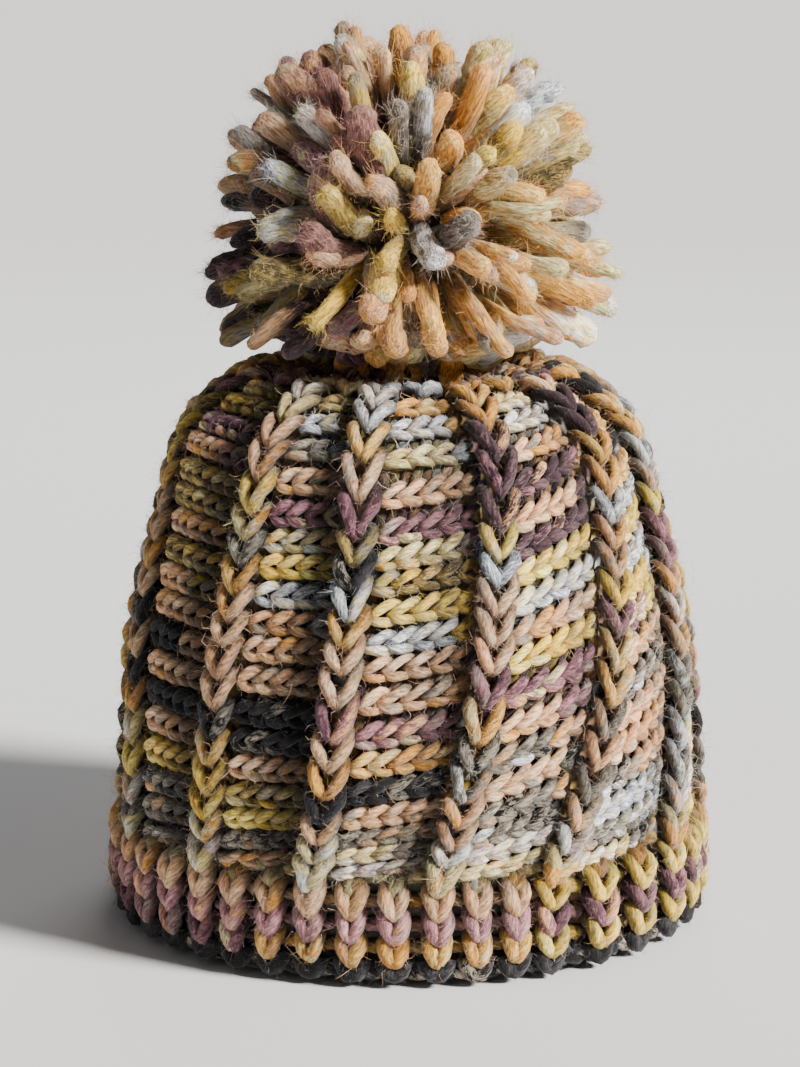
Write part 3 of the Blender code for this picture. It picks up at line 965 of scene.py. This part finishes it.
def pompom_paths(directions, reach, thick):
    """(count, 11, 3) strands from the binding to their cut ends, round the pom-pom's middle.

    They set off towards the parting and bend away from it, so that they lie over each other."""
    count = len(directions)
    facing = smooth_step(-0.5, 0.5, directions @ POMPOM_PARTING)[:, None]
    early = unit(directions + 0.55 * facing * POMPOM_PARTING)
    wild = np.where(rng.uniform(0, 1, (count, 1)) < 0.14, 2.4, 1.0)
    hub = np.array([0.0, 0.0, -10.0]) + directions * 4.0
    turn = early * 0.62 * reach[:, None] + rng.normal(0, 3.2, (count, 3)) * wild
    stray = rng.normal(0, 2.2, (count, 3)) * wild
    stray -= directions * (stray * directions).sum(1, keepdims=True)
    end = directions * reach[:, None] + stray
    end[:, 2] -= POMPOM_DROOP * smooth_step(-0.35, 0.4, -directions[:, 2])
    ahead = np.linalg.norm(end - turn, axis=1)[:, None]
    tip = 1.0 - thick[:, None] * np.array((1.5, 0.8, 0.3, 0.0)) / (2.0 * ahead)
    body = np.broadcast_to((0.2, 0.36, 0.5, 0.61, 0.71, 0.79), (count, 6))
    neck = 0.5 * (body[:, -1:] + tip[:, :1])
    t = np.concatenate([body, neck, tip], 1)[..., None]
    paths = (1 - t) ** 2 * hub[:, None] + 2 * t * (1 - t) * turn[:, None] + t**2 * end[:, None]
    heading = (end - turn) / ahead
    aside = np.cross(heading, rng.normal(0, 1, (count, 3)))[:, None]
    phase = rng.uniform(0, 2 * math.pi, (count, 1, 1))
    paths += aside * np.sin(6.5 * t + phase) * t**2 * (0.9 * wild[:, None])
    lowest = crown_clearance(np.hypot(paths[..., 0], paths[..., 1]), thick[:, None])
    lowest += rng.uniform(0, 2.5, (count, 1))
    paths[..., 2] = np.maximum(paths[..., 2], lowest)
    return paths, heading


def make_pompom():
    """Cut ends of roving, one mesh to each CAD tuft."""
    outer, inner = pompom_ends(POMPOM_STRANDS), pompom_ends(POMPOM_FILLERS)
    directions = np.concatenate([outer, inner])
    count = len(directions)
    letters = pompom_letters(directions)
    owner = np.argmax(directions @ tuft_directions().T, axis=1)
    level = np.hypot(directions[:, 0], directions[:, 1])
    reach = POMPOM_REACH + rng.normal(0, 1.6, count) + POMPOM_WIDER * np.abs(directions[:, 0])
    reach += POMPOM_WIDER * level * np.exp(-(((directions[:, 2] + 0.45) / 0.35) ** 2))
    reach[len(outer):] -= FILLERS_SHORTER
    thick = POMPOM_YARN * rng.normal(1, 0.17, count).clip(0.62, 1.28)
    paths, heading = pompom_paths(directions, reach, thick)
    rings = paths.shape[1]
    flare = rng.uniform(0.88, 1.16, (count, 1))
    body = np.array((0.6, 0.8, 0.92, 1.0, 1.03, 1.04, 1.03, 1.0, 0.9, 0.68, 0.3))
    rise = np.array((0.0, 0.0, 0.0, 0.1, 0.3, 0.6, 0.85, 1.0, 1.0, 1.0, 1.0))
    radii = thick[:, None] * body * (1 + (flare - 1) * rise) * rng.normal(1, 0.07, (count, rings))
    ups = np.cross(heading, SLANT)
    main, fleck = changing_colours(letters, rings)
    # Painted shade: strands are darker towards the pom-pom's middle, where light hardly reaches, and on
    # its left, away from the key light; a little lighter at the cut ends.
    out = np.linalg.norm(paths, axis=-1) / reach[:, None]
    shade = np.interp(out, (0.3, 0.55, 0.75, 0.95), (0.04, 0.18, 0.58, 1.05))[..., None]
    shade = shade * np.interp(directions[:, 0], (-0.9, -0.1, 0.3), (0.36, 0.78, 0.94))[:, None, None]
    main = (main * shade).clip(0, 1)
    fleck = (fleck * shade).clip(0, 1)
    paths[..., 2] += POMPOM_HEIGHT
    made = []
    for tuft in range(20):
        mine = owner == tuft
        strands = Strands(sides=12, plies=2, ply_depth=0.12, twist=0.05)
        strands.add(paths[mine], radii[mine], ups[mine][:, None], main[mine], fleck[mine])
        made.append((f"tuft_{tuft + 1:02d}", strands))
    free = paths[:, -1, 2] > FREE_FROM
    tips = paths[free, -3], heading[free], main[free, -3], thick[free]
    return made, tips


def make_core():
    """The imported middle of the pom-pom, where the strands crowd together."""
    strands = Strands(sides=8, plies=2)
    directions = sphere_directions(CORE_STRANDS)
    t = np.array((6.0, 14.0, 22.0, 28.0, 31.0))
    paths = directions[:, None] * t[None, :, None] + np.array([0.0, 0.0, POMPOM_HEIGHT])
    main, fleck = yarn_colours("D" * CORE_STRANDS)
    ups = np.cross(directions, SLANT)[:, None]
    # painted shade: the core's yarn colours are halved
    strands.add(paths, np.array((1.2, 2.0, 2.8, 3.0, 1.6)), ups, main * 0.5, fleck * 0.5)
    return "pompom_core", strands


def ring_strands(radius, yarn, height, turns, spread):
    """Yarn wound round the Z axis."""
    strands = Strands(sides=8)
    t = np.linspace(0, 1, 40 * turns)
    turn = 2 * math.pi * turns * t
    wobble = spread * np.sin(turn * 0.37 + 1.0)
    wide = radius + wobble * 0.4
    paths = np.stack([wide * np.sin(turn), -wide * np.cos(turn), height + wobble], -1)[None]
    main, fleck = yarn_colours(HIDDEN_YARN)
    strands.add(paths, yarn, np.array([0.0, 0.0, 1.0]), main, fleck)
    return strands


def tie_strands(bottom, top):
    """Two strands of tie yarn twisted round each other."""
    strands = Strands(sides=8)
    t = np.linspace(0, 1, 24)
    height = bottom + (top - bottom) * t
    for phase in (0.0, math.pi):
        turn = height * 0.35 + phase
        paths = np.stack([1.15 * np.cos(turn), 1.15 * np.sin(turn), height], -1)[None]
        main, fleck = yarn_colours(HIDDEN_YARN)
        strands.add(paths, 1.35, np.array([0.0, 1.0, 0.1]), main, fleck)
    return strands


def knot_strands(height):
    """A knot drawn tight: a trefoil of yarn."""
    strands = Strands(sides=8)
    t = np.linspace(0, 2 * math.pi, 60)
    paths = np.stack([
        2.3 * (np.sin(t) + 1.3 * np.sin(2 * t)),
        2.3 * (np.cos(t) - 1.3 * np.cos(2 * t)),
        height - 1.7 * np.sin(3 * t),
    ], -1)[None]
    main, fleck = yarn_colours(HIDDEN_YARN)
    strands.add(paths, 1.8, np.array([0.0, 0.1, 1.0]), main, fleck)
    return strands


# Stage, light and camera


def make_stage():
    bpy.ops.mesh.primitive_plane_add(size=60.0, location=(0, 0, -0.0002))
    floor = bpy.context.object
    floor.name = "floor"
    material, _, _, shader = node_material("pale_floor")
    set_inputs(shader, Base_Color=(0.80, 0.80, 0.81, 1.0), Roughness=0.9)
    floor.data.materials.append(material)


def add_area(name, place, size, power, colour):
    light = bpy.data.lights.new(name, "AREA")
    light.energy = power
    light.size = size
    light.color = colour
    obj = placed(name, light)
    obj.location = place
    obj.rotation_euler = (Vector((0, 0, 0.12)) - Vector(place)).to_track_quat("-Z", "Y").to_euler()


def make_lights():
    key = bpy.data.lights.new("key", "SUN")
    key.energy = 9.8
    key.angle = math.radians(12.0)
    key.color = (1.0, 0.97, 0.93)
    placed("key", key).rotation_euler = Vector((1.26, -0.70, 0.90)).to_track_quat("Z", "Y").to_euler()
    add_area("fill", (-1.1, -0.9, 0.6), 1.0, 0.5, (0.95, 0.97, 1.0))
    add_area("rim", (0.2, 1.0, 1.0), 0.8, 5.0, (1.0, 1.0, 1.0))
    world = bpy.data.worlds.new("studio")
    world.use_nodes = True
    set_inputs(world.node_tree.nodes["Background"], Color=(0.90, 0.89, 0.88, 1.0), Strength=0.15)
    bpy.context.scene.world = world


def make_camera():
    camera = bpy.data.cameras.new("camera")
    camera.lens = CAMERA_LENS
    camera.sensor_width = 36.0
    obj = placed("camera", camera)
    aim = Vector(CAMERA_AIM) * MM
    away = Vector((0, -math.cos(CAMERA_TILT), math.sin(CAMERA_TILT))) * CAMERA_DISTANCE * MM
    obj.location = aim + away
    obj.rotation_euler = (-away).to_track_quat("-Z", "Y").to_euler()
    bpy.context.scene.camera = obj


# Putting it together


def show(piece, node, body):
    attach(piece, body)
    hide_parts(node)


def merged(groups):
    """One Strands that holds the points of many, to root loose fibres on."""
    whole = Strands()
    for strands in groups:
        whole.points += strands.points
        whole.normals += strands.normals
        for label, parts in strands.attributes.items():
            whole.attributes[label] += parts
    return whole


def main():
    make_camera()
    make_lights()
    make_stage()

    shoulder = Strands(sides=9)
    fabric = make_ribs(shoulder) + make_panels(shoulder)
    fabric += [make_brim(), make_edge(), ("crown_shoulder", shoulder), make_crown()]
    for node, strands in fabric:
        show(strands.mesh(node + "_stitches", YARN), node, "hat")
    lining = make_lining()
    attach(lining, "hat")
    gathering = ring_strands(GATHERING_RADIUS, 1.7, GATHERING_HEIGHT, turns=2, spread=0.8)
    show(gathering.mesh("gathering_yarn_wound", YARN), "gathering_yarn", "hat")
    show(knot_strands(KNOT_HEIGHT).mesh("inner_knot_wound", YARN), "inner_knot", "hat")
    show(tie_strands(*TIE_LOWER_SPAN).mesh("tie_lower_twist", YARN), "tie_lower", "tie_base")
    show(tie_strands(*TIE_UPPER_SPAN).mesh("tie_upper_twist", YARN), "tie_upper", "tie_neck")

    pompom, tips = make_pompom()
    for node, strands in (*pompom, make_core()):
        show(strands.mesh(node + "_strands", ROVING), node, "pompom")
    binding = ring_strands(BINDING_RADIUS, 1.6, POMPOM_HEIGHT, turns=3, spread=1.6)
    show(binding.mesh("pompom_binding_wound", YARN), "pompom_binding", "pompom")

    ribs, panels, rest = fabric[:RIBS], fabric[RIBS:2 * RIBS], fabric[2 * RIBS:]
    on_hat = (HAT_MIDDLE, 0.0, *FABRIC_FIBRES)
    on_pompom = (POMPOM_MIDDLE, FREE_FROM, *POMPOM_FIBRES)
    for name, groups, fibre_limits, body, slot in (
        ("rib_loose_fibres", ribs, on_hat, "hat", "rib_yarn"),
        ("front_panel_loose_fibres", panels[:6], on_hat, "hat", "panel_yarn"),
        ("back_panel_loose_fibres", panels[6:], on_hat, "hat", "panel_yarn"),
        ("edge_and_crown_loose_fibres", rest, on_hat, "hat", "brim_yarn"),
        ("upper_pompom_loose_fibres", pompom[:10], on_pompom, "pompom", "orange_roving"),
        ("lower_pompom_loose_fibres", pompom[10:], on_pompom, "pompom", "yellow_roving"),
    ):
        roots = merged([strands for _, strands in groups])
        fibres = fuzz(name, roots, *fibre_limits)
        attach(fibres, body)
    brushed = tip_fuzz("pompom_brushed_ends", tips, BRUSHED_PER_END)
    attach(brushed, "pompom")


main()
